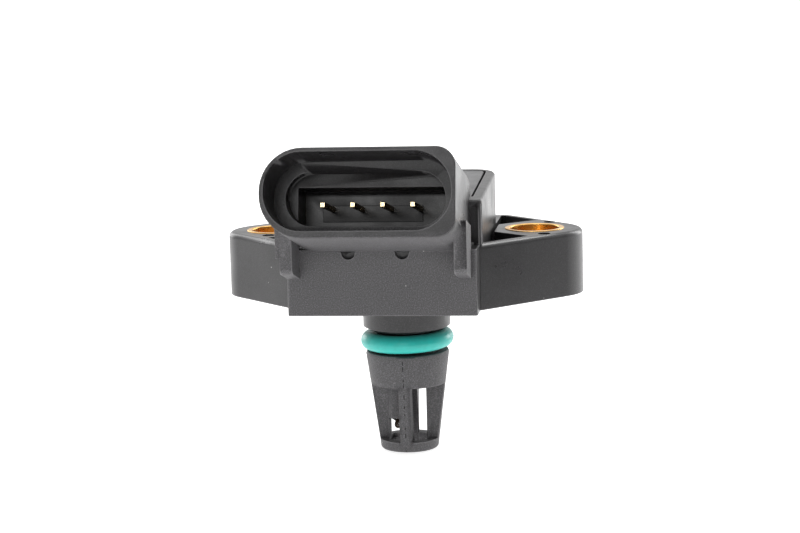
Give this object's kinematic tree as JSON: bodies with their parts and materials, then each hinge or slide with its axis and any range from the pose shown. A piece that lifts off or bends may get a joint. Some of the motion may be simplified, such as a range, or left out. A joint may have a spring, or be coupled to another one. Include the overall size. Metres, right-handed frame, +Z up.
{
  "type": "manifold absolute pressure sensor",
  "caption": "Moulded pressure and air temperature sensor with a plug socket, brass-lined bolt holes, a sealing ring and a slotted port under its flange.",
  "frame": {"origin": "on the port's axis, in the plane of the flange's underside", "axes": "+Z points up, away from the port; +X runs along the line of the two bolt holes; +Y points away from the plug socket's mouth"},
  "size_m": [0.0492, 0.0455, 0.0455],
  "materials": {
    "housing_plastic": "fine moulded grain",
    "lid_plastic": "fine moulded grain",
    "silicone_glue": "satin",
    "sleeve_brass": "turned",
    "seal_rubber": "satin",
    "contact_brass": "plated and stamped",
    "ceramic": "matte sintered",
    "borosilicate_glass": "sawn",
    "silicon": "polished",
    "dam_plastic": "moulded",
    "silicone_gel": "clear and soft",
    "bond_aluminium": "drawn",
    "bead_resin": "dipped",
    "lead_metal": "tinned"
  },
  "bodies": {
    "root": {"housing": "housing_plastic", "cover_lid": "lid_plastic", "lid_adhesive": "silicone_glue", "mounting_sleeve_left": "sleeve_brass", "mounting_sleeve_right": "sleeve_brass", "port_seal_ring": "seal_rubber", "terminal_1": "contact_brass", "terminal_2": "contact_brass", "terminal_3": "contact_brass", "terminal_4": "contact_brass", "board_adhesive": "silicone_glue", "circuit_board": "ceramic", "glass_pedestal": "borosilicate_glass", "pressure_chip": "silicon", "signal_chip": "silicon", "gel_dam": "dam_plastic", "protective_gel": "silicone_gel", "bond_wires": "bond_aluminium", "chip_capacitors": "ceramic", "probe_bead": "bead_resin", "probe_lead_left": "lead_metal", "probe_lead_right": "lead_metal", "lead_solder": "lead_metal"}
  },
  "joints": []
}
